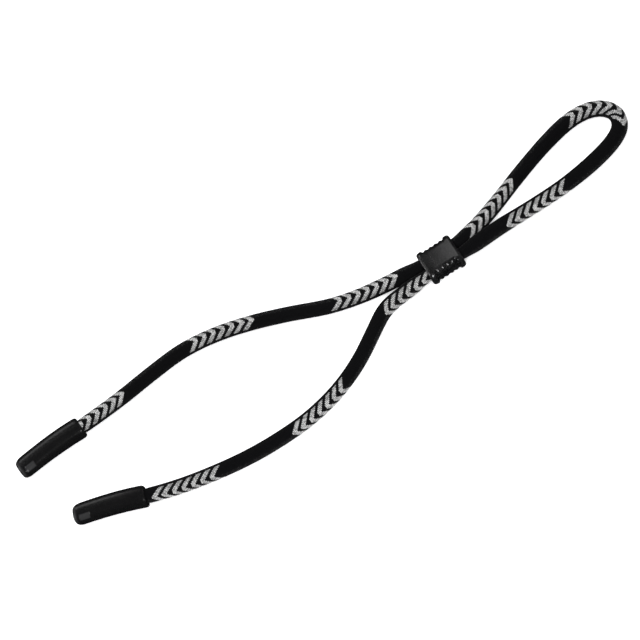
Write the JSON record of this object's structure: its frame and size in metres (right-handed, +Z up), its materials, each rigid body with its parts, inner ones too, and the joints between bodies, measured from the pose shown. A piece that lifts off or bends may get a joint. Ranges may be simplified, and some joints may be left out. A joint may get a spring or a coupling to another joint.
{
  "type": "eyeglass retainer strap",
  "caption": "Soft round knitted cord with a rubber sleeve at each end for a temple arm, and a ribbed slider that gathers both strands into a loop.",
  "frame": {"origin": "middle of the slider's flat underside, on the surface that the strap lies on", "axes": "+X along the slider and the two strands in it, towards the closed loop; +Z up from the surface, square to the slider's two smooth faces"},
  "size_m": [0.3174, 0.0716, 0.0096],
  "materials": {
    "knitted_cord": "matte knitted yarn, black with a pale woven pattern",
    "filler_yarn": "matte loose yarn",
    "sleeve_rubber": "semi-matte moulded silicone rubber",
    "crimp_metal": "satin",
    "slider_plastic": "satin moulded plastic"
  },
  "bodies": {
    "strap": {"cord_sheath": "knitted_cord", "cord_core": "filler_yarn", "temple_sleeve_left": "sleeve_rubber", "temple_sleeve_right": "sleeve_rubber", "end_crimp_left": "crimp_metal", "end_crimp_right": "crimp_metal"},
    "slider": {"adjuster_slider": "slider_plastic"}
  },
  "joints": [
    {"name": "slider_travel", "type": "slide", "parent": "strap", "child": "slider", "axis": [1, 0, 0], "range_m": [-0.05, 0.035], "deforming": ["cord_sheath", "cord_core"]}
  ]
}
